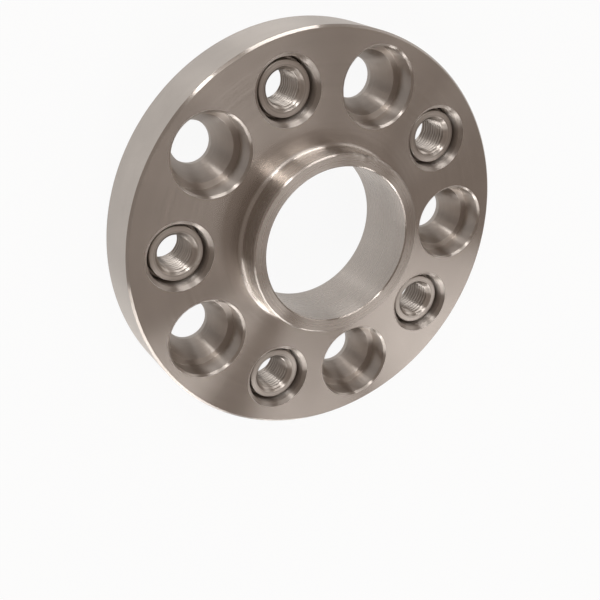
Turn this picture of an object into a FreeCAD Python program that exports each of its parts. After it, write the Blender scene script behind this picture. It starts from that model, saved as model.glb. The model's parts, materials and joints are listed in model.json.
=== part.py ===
import FreeCAD, Part
import math
import os

# Hub-centric wheel spacer: a turned flange with a hub ring, and five pressed-in threaded inserts.
# Millimetres. The bore's axis is Z, the face against the hub is at z = 0, and +Z points to the wheel.

UP = FreeCAD.Vector(0, 0, 1)
CENTRE = FreeCAD.Vector(0, 0, 0)

# Flange
outer_diameter = 149.0
flange_thickness = 20.0
rim_chamfer = 0.8

# Bore that sits on the car's hub
bore_diameter = 57.1
bore_lead_in = 2.5
bore_front_chamfer = 0.4

# Hub ring that centres the wheel
ring_diameter = 66.5
ring_height = 9.5
ring_chamfer = 0.5
ring_root_fillet = 1.6

# Both circles of holes: each insert lies this many degrees past the middle between two bolt holes
pitch_circle_diameter = 112.0
hole_count = 5
insert_extra_turn = 1.0

# Stepped holes for the bolts that hold the spacer to the hub
counterbore_diameter = 28.0
counterbore_depth = 8.6
counterbore_chamfer = 0.7
seat_diameter = 23.4
seat_angle = 48.0
bolt_clearance_diameter = 15.2
bolt_back_chamfer = 0.3

# Steel inserts that take the wheel's bolts
thread_minor_diameter = 12.38
countersink_diameter = 15.3
countersink_angle = 90.0
pilot_diameter = 19.6
pilot_length = 4.2
pilot_chamfer = 0.3
insert_front_recess = 3.0
knurl_diameter = 22.3
knurl_depth = 0.5
knurl_teeth = 26
knurl_chamfer = 0.7
head_diameter = 27.0
head_height = 4.0
head_chamfer = 0.5
insert_back_recess = 0.3

# Room round the inserts
knurl_clearance = 0.05
head_clearance = 0.2
insert_mouth_chamfer = 1.15
head_pocket_chamfer = 0.4

# How far a cutting tool runs past the face that it opens
overrun = 1.0


def section_point(radius, height):
    """Point of the XZ section plane at a radius and a height."""
    return FreeCAD.Vector(radius, 0, height)


def section_path(points):
    """Straight edges through (radius, height) points, in order."""
    return Part.makePolygon([section_point(*point) for point in points]).Edges


def revolved(edges):
    """Solid of revolution round Z from the edges of a closed section."""
    return Part.Face(Part.Wire(edges)).revolve(CENTRE, UP, 360)


def revolved_outline(points):
    """Solid of revolution round Z from the corners of a straight-sided section."""
    return revolved(section_path(points + points[:1]))


def flange_blank():
    """The turned blank: flange, root fillet, hub ring and bore in one closed section."""
    rim = outer_diameter / 2
    bore = bore_diameter / 2
    wall = ring_diameter / 2
    face = flange_thickness
    tip = flange_thickness + ring_height
    flange_side = [
        (bore + bore_lead_in, 0),
        (rim - rim_chamfer, 0),
        (rim, rim_chamfer),
        (rim, face - rim_chamfer),
        (rim - rim_chamfer, face),
        (wall + ring_root_fillet, face),
    ]
    ring_side = [
        (wall, face + ring_root_fillet),
        (wall, tip - ring_chamfer),
        (wall - ring_chamfer, tip),
        (bore + bore_front_chamfer, tip),
        (bore, tip - bore_front_chamfer),
        (bore, bore_lead_in),
        (bore + bore_lead_in, 0),
    ]
    reach = ring_root_fillet * (1 - math.sqrt(0.5))
    fillet_start = section_point(*flange_side[-1])
    fillet_middle = section_point(wall + reach, face + reach)
    fillet_end = section_point(*ring_side[0])
    fillet = Part.Arc(fillet_start, fillet_middle, fillet_end).toShape()
    return revolved(section_path(flange_side) + [fillet] + section_path(ring_side))


def bolt_hole_cutter():
    """Chamfered counterbore, flat floor, tapered bolt seat and clearance hole, on the Z axis."""
    counterbore = counterbore_diameter / 2
    seat = seat_diameter / 2
    hole = bolt_clearance_diameter / 2
    face = flange_thickness
    floor = face - counterbore_depth
    stepped_hole = revolved_outline([
        (0, face + overrun),
        (counterbore + counterbore_chamfer + overrun, face + overrun),
        (counterbore, face - counterbore_chamfer),
        (counterbore, floor),
        (hole, floor),
        (hole, bolt_back_chamfer),
        (hole + bolt_back_chamfer + overrun, -overrun),
        (0, -overrun),
    ])
    seat_tip = floor - seat / math.tan(math.radians(seat_angle / 2))
    seat_taper = revolved_outline([(0, floor), (seat, floor), (0, seat_tip)])
    return stepped_hole.fuse(seat_taper)


def insert_hole_cutter():
    """Chamfered through hole for the insert's barrel, with the head's pocket in the back face."""
    hole = knurl_diameter / 2 + knurl_clearance
    pocket = head_diameter / 2 + head_clearance
    face = flange_thickness
    head_seat = insert_back_recess + head_height
    return revolved_outline([
        (0, face + overrun),
        (hole + insert_mouth_chamfer + overrun, face + overrun),
        (hole, face - insert_mouth_chamfer),
        (hole, head_seat),
        (pocket, head_seat),
        (pocket, head_pocket_chamfer),
        (pocket + head_pocket_chamfer + overrun, -overrun),
        (0, -overrun),
    ])


def knurled_barrel(bottom, top):
    """Straight-knurled barrel: a star of flat-sided teeth, with both ends of the teeth chamfered."""
    crest = knurl_diameter / 2
    root = crest - knurl_depth
    star = []
    for index in range(2 * knurl_teeth):
        radius = root if index % 2 else crest
        angle = math.pi * index / knurl_teeth
        star.append(FreeCAD.Vector(radius * math.cos(angle), radius * math.sin(angle), bottom))
    teeth = Part.Face(Part.makePolygon(star + star[:1])).extrude(UP * (top - bottom))
    envelope = revolved_outline([
        (0, bottom),
        (crest, bottom),
        (crest, top - knurl_chamfer),
        (crest - knurl_chamfer, top),
        (0, top),
    ])
    return teeth.common(envelope)


def threaded_insert():
    """One insert on the Z axis: head at the back, knurled barrel, smooth pilot and threaded bore."""
    head_bottom = insert_back_recess
    head_top = head_bottom + head_height
    pilot_top = flange_thickness - insert_front_recess
    barrel_top = pilot_top - pilot_length
    head = head_diameter / 2
    pilot = pilot_diameter / 2
    core = revolved_outline([
        (0, head_bottom),
        (head - head_chamfer, head_bottom),
        (head, head_bottom + head_chamfer),
        (head, head_top),
        (pilot, head_top),
        (pilot, pilot_top - pilot_chamfer),
        (pilot - pilot_chamfer, pilot_top),
        (0, pilot_top),
    ])
    thread = thread_minor_diameter / 2
    countersink = countersink_diameter / 2
    sink_slope = math.tan(math.radians(countersink_angle / 2))
    sink_depth = (countersink - thread) / sink_slope
    overrun_width = overrun * sink_slope
    threaded_bore = revolved_outline([
        (0, head_bottom - overrun),
        (countersink + overrun_width, head_bottom - overrun),
        (thread, head_bottom + sink_depth),
        (thread, pilot_top - sink_depth),
        (countersink + overrun_width, pilot_top + overrun),
        (0, pilot_top + overrun),
    ])
    return core.fuse(knurled_barrel(head_top, barrel_top)).cut(threaded_bore).removeSplitter()


def round_the_circle(shape, first_angle):
    """Copies of a shape set on the pitch circle, one at every share of a full turn."""
    copies = []
    for index in range(hole_count):
        copy = shape.copy()
        copy.translate(FreeCAD.Vector(pitch_circle_diameter / 2, 0, 0))
        copy.rotate(CENTRE, UP, first_angle + index * 360 / hole_count)
        copies.append(copy)
    return copies


os.makedirs("parts", exist_ok=True)

first_bolt_angle = 0
first_insert_angle = first_bolt_angle + 180 / hole_count + insert_extra_turn

flange = flange_blank()
for cutter in round_the_circle(bolt_hole_cutter(), first_bolt_angle):
    flange = flange.cut(cutter)
for cutter in round_the_circle(insert_hole_cutter(), first_insert_angle):
    flange = flange.cut(cutter)
flange.exportStep("parts/flange_body.step")

for number, insert in enumerate(round_the_circle(threaded_insert(), first_insert_angle), start=1):
    insert.exportStep(f"parts/threaded_insert_{number}.step")
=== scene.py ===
import json
import math

import bmesh
import bpy
import numpy as np
from mathutils import Matrix, Vector


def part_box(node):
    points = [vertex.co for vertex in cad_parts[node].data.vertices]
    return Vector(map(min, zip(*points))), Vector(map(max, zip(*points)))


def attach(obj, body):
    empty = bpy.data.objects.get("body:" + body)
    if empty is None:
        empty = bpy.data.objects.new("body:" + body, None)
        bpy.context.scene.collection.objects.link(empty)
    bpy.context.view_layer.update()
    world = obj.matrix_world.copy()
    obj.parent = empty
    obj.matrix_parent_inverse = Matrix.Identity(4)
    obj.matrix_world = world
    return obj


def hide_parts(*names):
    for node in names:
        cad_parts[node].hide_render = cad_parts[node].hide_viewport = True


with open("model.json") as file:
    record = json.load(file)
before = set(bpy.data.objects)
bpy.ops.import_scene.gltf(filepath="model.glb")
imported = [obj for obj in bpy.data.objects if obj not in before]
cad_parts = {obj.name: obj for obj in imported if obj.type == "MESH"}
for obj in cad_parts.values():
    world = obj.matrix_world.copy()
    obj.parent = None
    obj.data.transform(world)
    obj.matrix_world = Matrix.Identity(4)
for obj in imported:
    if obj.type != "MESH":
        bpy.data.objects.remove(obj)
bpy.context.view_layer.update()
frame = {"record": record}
MOUNTS = {mount["name"]: mount for mount in frame["record"]["mounts"]}
MM = 0.001

# Sizes taken from the frame, in metres
OUTER_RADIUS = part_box("flange_body")[1].x
RING_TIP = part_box("flange_body")[1].z
FACE_HEIGHT = MOUNTS["wheel_face"]["pos_m"][2]
BORE_RADIUS = MOUNTS["hub_bore"]["dims"]["r_mm"] * MM
RING_RADIUS = MOUNTS["wheel_spigot"]["dims"]["r_mm"] * MM
PITCH_RADIUS = MOUNTS["hub_bolt_circle"]["dims"]["pcd_mm"] / 2 * MM
HOLE_COUNT = MOUNTS["hub_bolt_circle"]["dims"]["count"]
BOLT_HOLE_RADIUS = MOUNTS["hub_bolt_circle"]["dims"]["hole_r_mm"] * MM
THREAD_MINOR_RADIUS = MOUNTS["wheel_bolt_circle"]["dims"]["hole_r_mm"] * MM
INSERT_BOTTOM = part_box("threaded_insert_1")[0].z
INSERT_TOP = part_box("threaded_insert_1")[1].z
INSERT_NODES = [f"threaded_insert_{number}" for number in range(1, HOLE_COUNT + 1)]
INSERT_CENTRES = [MOUNTS[f"wheel_thread_{number}"]["pos_m"][:2] for number in range(1, HOLE_COUNT + 1)]
PART_AXIS = (0, 0)
FIRST_INSERT_ANGLE = math.atan2(INSERT_CENTRES[0][1], INSERT_CENTRES[0][0])
HOLE_SPACING = 2 * math.pi / HOLE_COUNT

# The flange's turned edges
EDGE_BREAK = 0.12 * MM
RIM_CHAMFER = 0.8 * MM
BORE_LEAD_IN = 2.5 * MM
BORE_FRONT_CHAMFER = 0.4 * MM
RING_CHAMFER = 0.5 * MM
RING_ROOT_FILLET = 1.6 * MM

# The bolt holes
COUNTERBORE_RADIUS = 14.0 * MM
COUNTERBORE_DEPTH = 8.6 * MM
COUNTERBORE_CHAMFER = 0.7 * MM
SEAT_RADIUS = 11.7 * MM
SEAT_HALF_ANGLE = math.radians(24)
BOLT_BACK_CHAMFER = 0.3 * MM

# The insert holes and the inserts
KNURL_RADIUS = 11.15 * MM
KNURL_CLEARANCE = 0.05 * MM
KNURL_DEPTH = 0.5 * MM
KNURL_TEETH = 26
KNURL_CHAMFER = 0.7 * MM
PILOT_RADIUS = 9.8 * MM
PILOT_LENGTH = 4.2 * MM
PILOT_CHAMFER = 0.3 * MM
COUNTERSINK_RADIUS = 7.65 * MM
HEAD_RADIUS = 13.5 * MM
HEAD_HEIGHT = 4.0 * MM
HEAD_CHAMFER = 0.5 * MM
HEAD_CLEARANCE = 0.2 * MM
INSERT_MOUTH_CHAMFER = 1.15 * MM
HEAD_POCKET_CHAMFER = 0.4 * MM
THREAD_PITCH = 1.5 * MM
THREAD_MAJOR_RADIUS = 7.0 * MM
THREAD_STEEPNESS = math.tan(math.radians(60))

# Knocks in the ring's outer edge: angle in degrees, then height, reach and depth. The rows are the distances from
# the edge at which the ring is divided more finely for them.
RING_KNOCKS = [
    (80.5, 28.3 * MM, 0.9 * MM, 0.35 * MM),
    (75.5, 28.9 * MM, 1.2 * MM, 0.40 * MM),
    (71.3, 29.3 * MM, 0.7 * MM, 0.30 * MM),
    (66.0, 29.1 * MM, 1.0 * MM, 0.15 * MM),
    (51.0, 29.0 * MM, 0.8 * MM, 0.20 * MM),
]
KNOCK_ROWS = (1.1 * MM, 1.7 * MM, 2.5 * MM)

# How finely the surfaces are divided
ARC_STEPS = 3
FILLET_STEPS = 8
POINTS_ALONG_SECTOR = 48
POINTS_ALONG_SIDE = 12
FACE_ROWS = 6
COLUMNS_PER_TOOTH = 6
ROWS_PER_PITCH = 10
SHARP_ANGLE = math.radians(28)
WELD_DISTANCE = 1e-6
JUST_UNDER = 0.999

# How coarse the tool's marks are on each surface, as a share of its metal's depth of mark
RING_COARSENESS = 0.7
RIM_COARSENESS = 0.5
FACE_COARSENESS = 0.03
BOLT_HOLE_COARSENESS = 1.3
INSERT_HOLE_COARSENESS = 2.5
INSERT_COARSENESS = 1.0

# How far the bands and the scuffs change the roughness, and the blotches the colour
BAND_ROUGHNESS = 0.015
SCUFF_ROUGHNESS = 0.015
BLOTCH_DARKEST = 0.93
BLOTCH_LIGHTEST = 1.05

# The floor and the room
FLOOR_HALF = 4.0
FLOOR_TOP = -0.05 * MM
FLOOR_COLOUR = (0.85, 0.85, 0.84, 1)
FLOOR_WHITE_SEEN = 0.92
FLOOR_WHITE_MIRRORED = 0.65
ROOM_COLOUR = (1.0, 0.86, 0.77, 1)
ROOM_STRENGTH = 0.30

# Camera: where it looks on the wheel face, and from where
CAMERA_TARGET = Vector((21.83, -40.09, 20.0)) * MM
CAMERA_DISTANCE = 389.8 * MM
CAMERA_AZIMUTH = math.radians(141.97)
CAMERA_ELEVATION = math.radians(49.06)
CAMERA_ROLL = math.radians(125.93)
CAMERA_LENS_MM = 60.13
CAMERA_SHIFT = (-0.1117, 0.0483)

# Lamps round the part: name, azimuth and elevation in degrees, width and height in metres, power in watts
LAMP_DISTANCE = 1.5
LAMPS = [
    ("edge_light", 120, 29, 0.26, 0.26, 2.4),
    ("low_right", 84, 7, 0.80, 0.34, 6.0),
    ("top_softbox", 92, 58, 1.00, 1.00, 2.0),
    ("front_top", 110, 48, 0.53, 0.53, 1.2),
    ("right_top", 75, 45, 0.53, 0.53, 0.85),
    ("right_softbox", 30, 30, 0.80, 0.80, 1.6),
    ("low_left", 243, 7, 1.80, 0.34, 8.0),
    ("left_fill", 240, 35, 0.53, 0.53, 0.8),
    ("left_glint", 264, 26, 0.30, 0.30, 1.9),
    ("left_softbox", 270, 46, 0.53, 0.53, 2.3),
    ("low_glint", 288, 8, 0.30, 0.42, 2.0),
    ("far_middle", 306, 43, 0.30, 0.30, 0.3),
    ("far_light", 315, 24, 0.70, 0.70, 0.9),
    ("far_top", 325, 40, 0.42, 0.42, 0.65),
]


def rounded_section(corners):
    """Points and headings along a section whose corners are rounded.

    A corner is (radius, height, rounding, steps). An arc of radius rounding touches the runs before and after the
    corner. The headings are the directions of travel, and the metal lies to the left of them.
    """
    points = np.array([corner[:2] for corner in corners], float)
    runs = np.diff(points, axis=0)
    runs /= np.linalg.norm(runs, axis=1)[:, None]
    headings = np.arctan2(runs[:, 1], runs[:, 0])
    placed = [points[:1]]
    directions = [headings[:1]]
    for index in range(1, len(corners) - 1):
        rounding, steps = corners[index][2:]
        turn = (headings[index] - headings[index - 1] + math.pi) % (2 * math.pi) - math.pi
        reach = rounding * math.tan(abs(turn) / 2)
        along = headings[index - 1] + turn * np.linspace(0, 1, steps + 1)
        left = np.stack([-np.sin(along), np.cos(along)], axis=1) * math.copysign(rounding, turn)
        start = points[index] - runs[index - 1] * reach
        placed.append(start + left[0] - left)
        directions.append(along)
    placed.append(points[-1:])
    directions.append(headings[-1:])
    return np.concatenate(placed), np.concatenate(directions)


def edge(radius, height):
    """A turned edge with its small break."""
    return (radius, height, EDGE_BREAK, ARC_STEPS)


def on_run(radius, height):
    """A point on a straight run, which only divides it."""
    return (radius, height, 0, 0)


class Skin:
    """Grids of points with their normals, gathered into one closed mesh."""

    def __init__(self):
        self.points, self.normals, self.quads, self.axes = [], [], [], []
        self.count = 0

    def add(self, points, normals, tool_axis, coarseness, closed_rows=False):
        """Adds a grid that is closed round its first index, with the tool's axis and how coarse its marks are."""
        columns, rows = points.shape[:2]
        column = np.arange(columns)[:, None]
        row = np.arange(rows if closed_rows else rows - 1)[None, :]
        next_column = (column + 1) % columns
        next_row = (row + 1) % rows
        corners = [column * rows + row, next_column * rows + row,
                   next_column * rows + next_row, column * rows + next_row]
        quads = np.stack([np.broadcast_to(corner, (columns, row.size)) for corner in corners], axis=-1)
        self.quads.append(quads.reshape(-1, 4) + self.count)
        self.points.append(points.reshape(-1, 3))
        self.normals.append(normals.reshape(-1, 3))
        self.axes.append(np.tile((*tool_axis, coarseness), (quads.size // 4, 1)))
        self.count += columns * rows

    def to_object(self, name, keep_normals):
        """Makes the mesh, joins the grids where they meet and sets the normals."""
        mesh = bpy.data.meshes.new(name)
        points = np.concatenate(self.points)
        mesh.from_pydata(points.tolist(), [], np.concatenate(self.quads).tolist())
        axes = mesh.attributes.new("tool_axis", "FLOAT_VECTOR", "FACE")
        axes.data.foreach_set("vector", np.concatenate(self.axes).astype(np.float32).ravel())
        hint = mesh.attributes.new("true_normal", "FLOAT_VECTOR", "POINT")
        hint.data.foreach_set("vector", np.concatenate(self.normals).astype(np.float32).ravel())
        work = bmesh.new()
        work.from_mesh(mesh)
        bmesh.ops.remove_doubles(work, verts=work.verts, dist=WELD_DISTANCE)
        work.to_mesh(mesh)
        work.free()
        mesh.polygons.foreach_set("use_smooth", [True] * len(mesh.polygons))
        if keep_normals:
            normals = np.empty(len(mesh.vertices) * 3, np.float32)
            mesh.attributes["true_normal"].data.foreach_get("vector", normals)
            mesh.normals_split_custom_set_from_vertices(normals.reshape(-1, 3).tolist())
        else:
            mesh.set_sharp_from_angle(angle=SHARP_ANGLE)
        mesh.attributes.remove(mesh.attributes["true_normal"])
        mesh.update()
        thing = bpy.data.objects.new(name, mesh)
        bpy.context.scene.collection.objects.link(thing)
        return thing


def revolved(section, angles, centre=(0.0, 0.0)):
    """A section turned round an upright axis: centre plus radius times (cos angle, sin angle), at its height."""
    points, headings = section
    radius, height = points[:, 0], points[:, 1]
    cosine, sine = np.cos(angles)[:, None], np.sin(angles)[:, None]
    flat = np.ones_like(cosine)
    grid = np.stack([centre[0] + radius * cosine, centre[1] + radius * sine, height * flat], axis=-1)
    outward, upward = np.sin(headings), -np.cos(headings)
    normals = np.stack([outward * cosine, outward * sine, upward * flat], axis=-1)
    return grid, normals


def knocked(grid, normals, radius, knocks):
    """Presses knocks into a band: a bell curve of the distance to each middle, times its depth, along the normals."""
    sunk, tilted = grid.copy(), normals.copy()
    for angle, height, reach, depth in knocks:
        turn = math.radians(angle)
        offset = grid - np.array([radius * math.cos(turn), radius * math.sin(turn), height])
        bell = depth * np.exp(-(offset ** 2).sum(axis=-1, keepdims=True) / (2 * reach ** 2))
        sunk -= normals * bell
        tilted -= offset * bell / reach ** 2
    return sunk, tilted / np.linalg.norm(tilted, axis=-1, keepdims=True)


def sector_bounds():
    """Start and end angle of each hole's sector: the middles between neighbouring holes, bolt holes first."""
    bolt_angles = HOLE_SPACING * np.arange(HOLE_COUNT)
    insert_angles = bolt_angles + FIRST_INSERT_ANGLE
    before = (insert_angles - HOLE_SPACING + bolt_angles) / 2
    between = (bolt_angles + insert_angles) / 2
    after = before + HOLE_SPACING
    bolts = list(zip(bolt_angles, before, between))
    inserts = list(zip(insert_angles, between, after))
    return bolts, inserts


def sector_angles(start, end):
    """Angles along one sector's arc, without its end."""
    return np.linspace(start, end, POINTS_ALONG_SECTOR + 1)[:-1]


def sector_outline(start, end, inner, outer):
    """Closed outline of a sector of the face, walked counter-clockwise.

    It runs along the outer arc, in along the end side, back along the inner arc and out along the start side. The
    arcs are radius times (cos angle, sin angle), and a side is a straight line between the two radii.
    """
    arc = sector_angles(start, end)
    side = np.linspace(0, 1, POINTS_ALONG_SIDE + 1)[:-1]
    back_arc = np.linspace(end, start, POINTS_ALONG_SECTOR + 1)[:-1]
    outer_arc = np.stack([outer * np.cos(arc), outer * np.sin(arc)], axis=1)
    end_side = (outer + (inner - outer) * side)[:, None] * np.array([math.cos(end), math.sin(end)])
    inner_arc = np.stack([inner * np.cos(back_arc), inner * np.sin(back_arc)], axis=1)
    start_side = (inner + (outer - inner) * side)[:, None] * np.array([math.cos(start), math.sin(start)])
    return np.concatenate([outer_arc, end_side, inner_arc, start_side])


def face_patch(outline, mouth, height, up):
    """Flat ring of rows between a sector's outline and a hole's mouth: each row is a share of the way across."""
    share = np.linspace(0, 1, FACE_ROWS + 1)
    if not up:
        share = share[::-1]
    flat = outline[:, None] * (1 - share)[:, None] + mouth[:, None] * share[:, None]
    grid = np.concatenate([flat, np.full((*flat.shape[:2], 1), height)], axis=-1)
    normals = np.zeros_like(grid)
    normals[..., 2] = 1 if up else -1
    return grid, normals


def flange_sections():
    """The ring side and the rim side of the turned section, which the two flat faces join."""
    back_inner = BORE_RADIUS + BORE_LEAD_IN
    ring_root = RING_RADIUS + RING_ROOT_FILLET
    rim_edge = OUTER_RADIUS - RIM_CHAMFER
    ring = rounded_section([
        (ring_root, FACE_HEIGHT, 0, 1),
        (RING_RADIUS, FACE_HEIGHT, RING_ROOT_FILLET * JUST_UNDER, FILLET_STEPS),
        *[on_run(RING_RADIUS, RING_TIP - step) for step in reversed(KNOCK_ROWS)],
        edge(RING_RADIUS, RING_TIP - RING_CHAMFER),
        edge(RING_RADIUS - RING_CHAMFER, RING_TIP),
        *[on_run(RING_RADIUS - step, RING_TIP) for step in KNOCK_ROWS],
        edge(BORE_RADIUS + BORE_FRONT_CHAMFER, RING_TIP),
        edge(BORE_RADIUS, RING_TIP - BORE_FRONT_CHAMFER),
        edge(BORE_RADIUS, BORE_LEAD_IN),
        edge(back_inner, 0),
        (back_inner + EDGE_BREAK, 0, 0, 1),
    ])
    rim = rounded_section([
        (rim_edge - EDGE_BREAK, 0, 0, 1),
        edge(rim_edge, 0),
        edge(OUTER_RADIUS, RIM_CHAMFER),
        edge(OUTER_RADIUS, FACE_HEIGHT - RIM_CHAMFER),
        edge(rim_edge, FACE_HEIGHT),
        (rim_edge - EDGE_BREAK, FACE_HEIGHT, 0, 1),
    ])
    return ring, rim


def bolt_hole_section():
    """Mouth chamfer, counterbore wall, flat floor, tapered seat, clearance hole and back chamfer, walked down."""
    mouth = COUNTERBORE_RADIUS + COUNTERBORE_CHAMFER
    floor = FACE_HEIGHT - COUNTERBORE_DEPTH
    seat_end = floor - (SEAT_RADIUS - BOLT_HOLE_RADIUS) / math.tan(SEAT_HALF_ANGLE)
    back = BOLT_HOLE_RADIUS + BOLT_BACK_CHAMFER
    return rounded_section([
        (mouth + EDGE_BREAK, FACE_HEIGHT, 0, 1),
        edge(mouth, FACE_HEIGHT),
        edge(COUNTERBORE_RADIUS, FACE_HEIGHT - COUNTERBORE_CHAMFER),
        edge(COUNTERBORE_RADIUS, floor),
        edge(SEAT_RADIUS, floor),
        edge(BOLT_HOLE_RADIUS, seat_end),
        edge(BOLT_HOLE_RADIUS, BOLT_BACK_CHAMFER),
        edge(back, 0),
        (back + EDGE_BREAK, 0, 0, 1),
    ])


def insert_hole_section():
    """Mouth chamfer, plain wall, the seat of the insert's head and its pocket in the back, walked down."""
    hole = KNURL_RADIUS + KNURL_CLEARANCE
    pocket = HEAD_RADIUS + HEAD_CLEARANCE
    seat = INSERT_BOTTOM + HEAD_HEIGHT
    return rounded_section([
        (hole + INSERT_MOUTH_CHAMFER + EDGE_BREAK, FACE_HEIGHT, 0, 1),
        edge(hole + INSERT_MOUTH_CHAMFER, FACE_HEIGHT),
        edge(hole, FACE_HEIGHT - INSERT_MOUTH_CHAMFER),
        edge(hole, seat),
        edge(pocket, seat),
        edge(pocket, HEAD_POCKET_CHAMFER),
        edge(pocket + HEAD_POCKET_CHAMFER, 0),
        (pocket + HEAD_POCKET_CHAMFER + EDGE_BREAK, 0, 0, 1),
    ])


def make_flange():
    """The flange: two turned bands joined by two flat faces, each cut into one patch for every hole."""
    skin = Skin()
    ring, rim = flange_sections()
    bolts, inserts = sector_bounds()
    around = np.concatenate([sector_angles(*sector[1:]) for pair in zip(bolts, inserts) for sector in pair])
    skin.add(*knocked(*revolved(ring, around), RING_RADIUS, RING_KNOCKS), PART_AXIS, RING_COARSENESS)
    skin.add(*revolved(rim, around), PART_AXIS, RIM_COARSENESS)
    ring_points, rim_points = ring[0], rim[0]
    holes = [
        (bolt_hole_section(), bolts, BOLT_HOLE_COARSENESS),
        (insert_hole_section(), inserts, INSERT_HOLE_COARSENESS),
    ]
    for section, sectors, coarseness in holes:
        for angle, start, end in sectors:
            centre = PITCH_RADIUS * np.array([math.cos(angle), math.sin(angle)])
            front = sector_outline(start, end, ring_points[0, 0], rim_points[-1, 0])
            back = sector_outline(start, end, ring_points[-1, 0], rim_points[0, 0])
            offset = (front + back) / 2 - centre
            round_hole = np.arctan2(offset[:, 1], offset[:, 0])
            grid, normals = revolved(section, round_hole, centre)
            skin.add(grid, normals, centre, coarseness)
            skin.add(*face_patch(front, grid[:, 0, :2], FACE_HEIGHT, True), PART_AXIS, FACE_COARSENESS)
            skin.add(*face_patch(back, grid[:, -1, :2], 0.0, False), PART_AXIS, FACE_COARSENESS)
    flange = skin.to_object("flange", True)
    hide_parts("flange_body")
    return flange


def thread_radius(height, angles):
    """Radius of the thread's wall: a 60 degree V whose centre climbs one pitch a turn, cut flat at both radii."""
    turns = height / THREAD_PITCH - angles / (2 * math.pi)
    from_root = np.abs((turns + 0.5) % 1 - 0.5) * THREAD_PITCH
    half_root_flat = THREAD_PITCH / 16
    slope = THREAD_MAJOR_RADIUS - (from_root - half_root_flat) * THREAD_STEEPNESS
    return np.clip(slope, THREAD_MINOR_RADIUS, THREAD_MAJOR_RADIUS)


def make_insert(number):
    """One insert: a grid closed both ways, out over the head, up the knurl and pilot, and down the thread."""
    centre = INSERT_CENTRES[number - 1]
    angles = np.linspace(0, 2 * math.pi, KNURL_TEETH * COLUMNS_PER_TOOTH + 1)[:-1]
    head_top = INSERT_BOTTOM + HEAD_HEIGHT
    barrel_top = INSERT_TOP - PILOT_LENGTH
    knurl_root = KNURL_RADIUS - KNURL_DEPTH
    outside, _ = rounded_section([
        (COUNTERSINK_RADIUS, INSERT_BOTTOM, 0, 1),
        edge(HEAD_RADIUS - HEAD_CHAMFER, INSERT_BOTTOM),
        edge(HEAD_RADIUS, INSERT_BOTTOM + HEAD_CHAMFER),
        edge(HEAD_RADIUS, head_top),
        edge(knurl_root, head_top),
        on_run(knurl_root, barrel_top - KNURL_CHAMFER),
        edge(knurl_root, barrel_top),
        edge(PILOT_RADIUS, barrel_top),
        edge(PILOT_RADIUS, INSERT_TOP - PILOT_CHAMFER),
        edge(PILOT_RADIUS - PILOT_CHAMFER, INSERT_TOP),
        (COUNTERSINK_RADIUS, INSERT_TOP, 0, 1),
    ])
    rows = int(round((INSERT_TOP - INSERT_BOTTOM) / THREAD_PITCH * ROWS_PER_PITCH))
    inner_height = np.linspace(INSERT_TOP, INSERT_BOTTOM, rows + 1)[1:-1]
    cone = COUNTERSINK_RADIUS - np.minimum(INSERT_TOP - inner_height, inner_height - INSERT_BOTTOM)
    inner_radius = np.maximum(thread_radius(inner_height, angles[:, None]), cone)
    tooth = np.abs((angles * KNURL_TEETH / (2 * math.pi)) % 1 - 0.5) * 2
    on_barrel = (np.abs(outside[:, 0] - knurl_root) < EDGE_BREAK) & (outside[:, 1] > head_top)
    outer_radius = np.broadcast_to(outside[:, 0], (angles.size, len(outside))).copy()
    barrel_share = np.clip((barrel_top - outside[:, 1]) / KNURL_CHAMFER, 0, 1)
    outer_radius += np.where(on_barrel, barrel_share * tooth[:, None] * KNURL_DEPTH, 0)
    radius = np.concatenate([outer_radius, inner_radius], axis=1)
    height = np.concatenate([outside[:, 1], inner_height])
    grid = np.stack([
        centre[0] + radius * np.cos(angles)[:, None],
        centre[1] + radius * np.sin(angles)[:, None],
        np.broadcast_to(height, radius.shape),
    ], axis=-1)
    skin = Skin()
    skin.add(grid, np.zeros_like(grid), centre, INSERT_COARSENESS, closed_rows=True)
    insert = skin.to_object(f"insert_{number}", False)
    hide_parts(INSERT_NODES[number - 1])
    return insert


flange = make_flange()
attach(flange, "root")
inserts = [make_insert(number) for number in range(1, HOLE_COUNT + 1)]
for insert in inserts:
    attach(insert, "root")


def new_group(name, inputs, outputs):
    """An empty shader group with named sockets, and its input and output nodes."""
    group = bpy.data.node_groups.new(name, "ShaderNodeTree")
    for socket, kind, value in inputs:
        made = group.interface.new_socket(socket, in_out="INPUT", socket_type=kind)
        if value is not None:
            made.default_value = value
    for socket, kind in outputs:
        group.interface.new_socket(socket, in_out="OUTPUT", socket_type=kind)
    return group, group.nodes.new("NodeGroupInput"), group.nodes.new("NodeGroupOutput")


def add_node(tree, kind, values=None, **settings):
    """A node with its settings, and with input values or links given by socket name or number."""
    node = tree.nodes.new(kind)
    for name, value in settings.items():
        setattr(node, name, value)
    for socket, value in (values or {}).items():
        if isinstance(value, bpy.types.NodeSocket):
            tree.links.new(value, node.inputs[socket])
        else:
            node.inputs[socket].default_value = value
    return node


def offset_from_axis(tree, axis):
    """Node outputs for the level offset from the tool's axis, and for the height."""
    place = add_node(tree, "ShaderNodeTexCoord").outputs["Object"]
    offset = add_node(tree, "ShaderNodeVectorMath", {0: place, 1: axis}, operation="SUBTRACT").outputs[0]
    level = add_node(tree, "ShaderNodeVectorMath", {0: offset, 1: (1, 1, 0)}, operation="MULTIPLY").outputs[0]
    return level, add_node(tree, "ShaderNodeSeparateXYZ", {0: place}).outputs["Z"]


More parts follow.
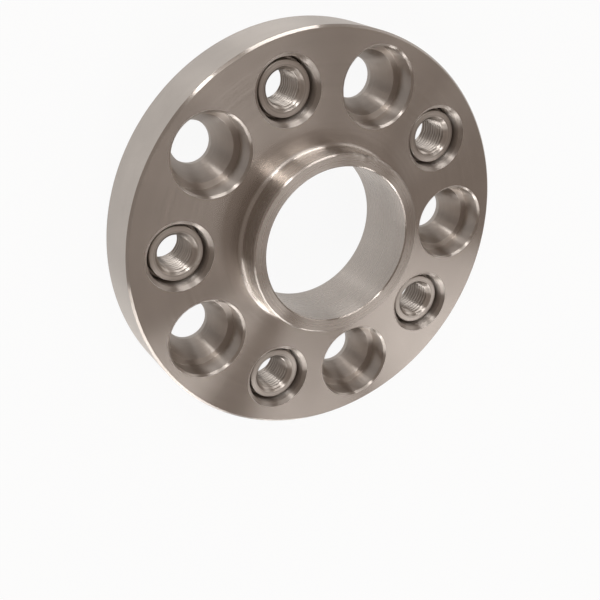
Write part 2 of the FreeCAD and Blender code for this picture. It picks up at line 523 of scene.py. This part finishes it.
def tool_mark_group():
    """Lathe marks: noise that changes only with the distance from the tool's axis and with the height.

    The axis input is the face attribute tool_axis. Its first two values are the place of the axis, and the third is
    the coarseness, which scales the fine marks.
    """
    group, given, result = new_group(
        "tool_marks",
        [("Axis", "NodeSocketVector", None), ("Marks per metre", "NodeSocketFloat", 4000.0),
         ("Bands per metre", "NodeSocketFloat", 500.0)],
        [("Fine", "NodeSocketFloat"), ("Bands", "NodeSocketFloat"), ("Coarseness", "NodeSocketFloat")],
    )
    level, height = offset_from_axis(group, given.outputs["Axis"])
    radius = add_node(group, "ShaderNodeVectorMath", {0: level}, operation="LENGTH").outputs["Value"]
    across = add_node(group, "ShaderNodeCombineXYZ", {0: radius, 1: height}).outputs[0]
    fine = add_node(group, "ShaderNodeTexNoise", {"Vector": across, "Scale": given.outputs["Marks per metre"],
                                                  "Detail": 0.5, "Roughness": 0.5}, noise_dimensions="2D")
    bands = add_node(group, "ShaderNodeTexNoise", {"Vector": across, "Scale": given.outputs["Bands per metre"],
                                                   "Detail": 3.0, "Roughness": 0.6}, noise_dimensions="2D")
    coarseness = add_node(group, "ShaderNodeSeparateXYZ", {0: given.outputs["Axis"]}).outputs["Z"]
    marks = add_node(group, "ShaderNodeMath", {0: fine.outputs["Fac"], 1: coarseness}, operation="MULTIPLY")
    group.links.new(marks.outputs[0], result.inputs["Fine"])
    group.links.new(bands.outputs["Fac"], result.inputs["Bands"])
    group.links.new(coarseness, result.inputs["Coarseness"])
    return group


def handling_group():
    """Faint blotches and short scuffs left by handling, from two noises of the place on the part."""
    group, given, result = new_group(
        "handling_marks",
        [("Scale", "NodeSocketFloat", 45.0)],
        [("Blotches", "NodeSocketFloat"), ("Scuffs", "NodeSocketFloat")],
    )
    place = add_node(group, "ShaderNodeTexCoord").outputs["Object"]
    blotches = add_node(group, "ShaderNodeTexNoise", {"Vector": place, "Scale": given.outputs["Scale"],
                                                      "Detail": 4.0, "Roughness": 0.6})
    stretched = add_node(group, "ShaderNodeMapping", {"Vector": place, "Rotation": (0.3, 0.2, 0.7),
                                                      "Scale": (90.0, 900.0, 500.0)}).outputs[0]
    scuffs = add_node(group, "ShaderNodeTexNoise", {"Vector": stretched, "Scale": 1.0, "Detail": 2.0})
    sparse = add_node(group, "ShaderNodeMapRange", {"Value": scuffs.outputs["Fac"], "From Min": 0.66,
                                                    "From Max": 0.78}).outputs[0]
    group.links.new(blotches.outputs["Fac"], result.inputs["Blotches"])
    group.links.new(sparse, result.inputs["Scuffs"])
    return group


TOOL_MARKS = tool_mark_group()
HANDLING = handling_group()


def turned_metal(name, dull, bright, roughness, bored_roughness, anisotropy, marks_per_metre, bands_per_metre,
                 mark_depth):
    """Turned metal: colour and roughness follow the bands of the lathe marks, and the gloss stretches across them.

    Coarser surfaces are rougher too: the roughness grows by bored_roughness times the coarseness. The tangent runs
    round the tool's axis: up crossed with the level offset from the axis.
    """
    material = bpy.data.materials.new(name)
    material.use_nodes = True
    tree = material.node_tree
    shader = tree.nodes["Principled BSDF"]
    axis = add_node(tree, "ShaderNodeAttribute", attribute_name="tool_axis").outputs["Vector"]
    marks = add_node(tree, "ShaderNodeGroup", node_tree=TOOL_MARKS)
    tree.links.new(axis, marks.inputs["Axis"])
    marks.inputs["Marks per metre"].default_value = marks_per_metre
    marks.inputs["Bands per metre"].default_value = bands_per_metre
    handling = add_node(tree, "ShaderNodeGroup", node_tree=HANDLING)
    tint = add_node(tree, "ShaderNodeMapRange", {"Value": marks.outputs["Bands"], "From Min": 0.3,
                                                 "From Max": 0.7}).outputs[0]
    colour = add_node(tree, "ShaderNodeMix", {"Factor": tint}, data_type="RGBA")
    colour.inputs["A"].default_value, colour.inputs["B"].default_value = (*dull, 1), (*bright, 1)
    cloudy = add_node(tree, "ShaderNodeMapRange", {"Value": handling.outputs["Blotches"], "From Min": 0.3,
                                                   "From Max": 0.7, "To Min": BLOTCH_DARKEST,
                                                   "To Max": BLOTCH_LIGHTEST}).outputs[0]
    shaded = add_node(tree, "ShaderNodeVectorMath", {0: colour.outputs["Result"], 1: cloudy}, operation="MULTIPLY")
    tree.links.new(shaded.outputs[0], shader.inputs["Base Color"])
    rough = add_node(tree, "ShaderNodeMapRange", {"Value": marks.outputs["Bands"], "From Min": 0.25,
                                                  "From Max": 0.75, "To Min": roughness - BAND_ROUGHNESS,
                                                  "To Max": roughness + BAND_ROUGHNESS}).outputs[0]
    bored = add_node(tree, "ShaderNodeMath", {0: marks.outputs["Coarseness"], 1: bored_roughness, 2: rough},
                     operation="MULTIPLY_ADD").outputs[0]
    scuffed = add_node(tree, "ShaderNodeMath", {0: handling.outputs["Scuffs"], 1: SCUFF_ROUGHNESS, 2: bored},
                       operation="MULTIPLY_ADD").outputs[0]
    tree.links.new(scuffed, shader.inputs["Roughness"])
    bump = add_node(tree, "ShaderNodeBump", {"Height": marks.outputs["Fine"], "Strength": 1.0,
                                             "Distance": mark_depth}).outputs[0]
    tree.links.new(bump, shader.inputs["Normal"])
    level, _ = offset_from_axis(tree, axis)
    along = add_node(tree, "ShaderNodeVectorMath", {0: (0, 0, 1), 1: level}, operation="CROSS_PRODUCT").outputs[0]
    tree.links.new(along, shader.inputs["Tangent"])
    shader.inputs["Metallic"].default_value = 1.0
    shader.inputs["Anisotropic"].default_value = anisotropy
    shader.inputs["Anisotropic Rotation"].default_value = 0.25
    return material


machined_aluminium = turned_metal(
    "machined_aluminium",
    dull=(0.525, 0.478, 0.438),
    bright=(0.555, 0.505, 0.463),
    roughness=0.21,
    bored_roughness=0.09,
    anisotropy=1.0,
    marks_per_metre=1600.0,
    bands_per_metre=500.0,
    mark_depth=0.040 * MM,
)
insert_steel = turned_metal(
    "insert_steel",
    dull=(0.440, 0.402, 0.368),
    bright=(0.620, 0.568, 0.521),
    roughness=0.26,
    bored_roughness=0.06,
    anisotropy=0.60,
    marks_per_metre=4000.0,
    bands_per_metre=1300.0,
    mark_depth=0.012 * MM,
)
flange.data.materials.append(machined_aluminium)
for insert in inserts:
    insert.data.materials.append(insert_steel)


def make_floor():
    """A wide pale floor, clear from below: part of its white is given to what the camera and reflections see."""
    corners = [(-1, -1), (1, -1), (1, 1), (-1, 1)]
    square = [(x * FLOOR_HALF, y * FLOOR_HALF, FLOOR_TOP) for x, y in corners]
    mesh = bpy.data.meshes.new("floor")
    mesh.from_pydata(square, [], [(0, 1, 2, 3)])
    floor = bpy.data.objects.new("floor", mesh)
    bpy.context.scene.collection.objects.link(floor)
    material = bpy.data.materials.new("pale_floor")
    material.use_nodes = True
    tree = material.node_tree
    shader = tree.nodes["Principled BSDF"]
    shader.inputs["Base Color"].default_value = FLOOR_COLOUR
    shader.inputs["Roughness"].default_value = 0.9
    shader.inputs["Specular IOR Level"].default_value = 0.1
    glow = add_node(tree, "ShaderNodeEmission", {"Color": (1, 1, 1, 1), "Strength": 1.0})
    path = add_node(tree, "ShaderNodeLightPath")
    mirrored = add_node(tree, "ShaderNodeMath", {0: path.outputs["Is Glossy Ray"], 1: FLOOR_WHITE_MIRRORED},
                        operation="MULTIPLY").outputs[0]
    share = add_node(tree, "ShaderNodeMath", {0: path.outputs["Is Camera Ray"], 1: FLOOR_WHITE_SEEN, 2: mirrored},
                     operation="MULTIPLY_ADD").outputs[0]
    blend = add_node(tree, "ShaderNodeMixShader", {0: share, 1: shader.outputs[0], 2: glow.outputs[0]})
    clear = add_node(tree, "ShaderNodeBsdfTransparent")
    below = add_node(tree, "ShaderNodeNewGeometry").outputs["Backfacing"]
    sided = add_node(tree, "ShaderNodeMixShader", {0: below, 1: blend.outputs[0], 2: clear.outputs[0]})
    tree.links.new(sided.outputs[0], tree.nodes["Material Output"].inputs["Surface"])
    mesh.materials.append(material)


def make_world():
    """A soft pale room, white where the camera looks past the floor."""
    world = bpy.data.worlds.new("studio")
    bpy.context.scene.world = world
    world.use_nodes = True
    tree = world.node_tree
    room = tree.nodes["Background"]
    room.inputs["Color"].default_value = ROOM_COLOUR
    room.inputs["Strength"].default_value = ROOM_STRENGTH
    white = add_node(tree, "ShaderNodeBackground", {"Color": (1, 1, 1, 1), "Strength": 1.0})
    path = add_node(tree, "ShaderNodeLightPath")
    blend = add_node(tree, "ShaderNodeMixShader", {0: path.outputs["Is Camera Ray"], 1: room.outputs[0],
                                                   2: white.outputs[0]})
    tree.links.new(blend.outputs[0], tree.nodes["World Output"].inputs["Surface"])


def add_lamp(name, azimuth, elevation, width, height, power):
    """A soft lamp aimed at the part, placed by its direction from the middle of the face."""
    data = bpy.data.lights.new(name, "AREA")
    data.shape = "ELLIPSE" if width == height else "RECTANGLE"
    data.size, data.size_y = width, height
    data.energy = power
    lamp = bpy.data.objects.new(name, data)
    azimuth, elevation = math.radians(azimuth), math.radians(elevation)
    direction = Vector((math.cos(elevation) * math.cos(azimuth), math.cos(elevation) * math.sin(azimuth),
                        math.sin(elevation)))
    lamp.location = direction * LAMP_DISTANCE + Vector((0, 0, FACE_HEIGHT))
    lamp.rotation_euler = direction.to_track_quat("Z", "Y").to_euler()
    bpy.context.scene.collection.objects.link(lamp)


def make_camera():
    """The camera looks down on the wheel face from the photograph's side, rolled as the photograph shows it."""
    data = bpy.data.cameras.new("camera")
    data.lens = CAMERA_LENS_MM
    data.sensor_width = 36.0
    data.shift_x, data.shift_y = CAMERA_SHIFT
    data.clip_start = 0.01
    camera = bpy.data.objects.new("camera", data)
    backward = Vector((math.cos(CAMERA_ELEVATION) * math.cos(CAMERA_AZIMUTH),
                       math.cos(CAMERA_ELEVATION) * math.sin(CAMERA_AZIMUTH), math.sin(CAMERA_ELEVATION)))
    level_right = Vector((0, 0, 1)).cross(backward).normalized()
    level_up = backward.cross(level_right)
    up = level_up * math.cos(CAMERA_ROLL) - level_right * math.sin(CAMERA_ROLL)
    right = up.cross(backward)
    turn = Matrix((right, up, backward)).transposed().to_4x4()
    camera.matrix_world = Matrix.Translation(CAMERA_TARGET + backward * CAMERA_DISTANCE) @ turn
    bpy.context.scene.collection.objects.link(camera)
    bpy.context.scene.camera = camera


make_floor()
make_world()
for lamp in LAMPS:
    add_lamp(*lamp)
make_camera()
bpy.context.scene.view_settings.view_transform = "Standard"
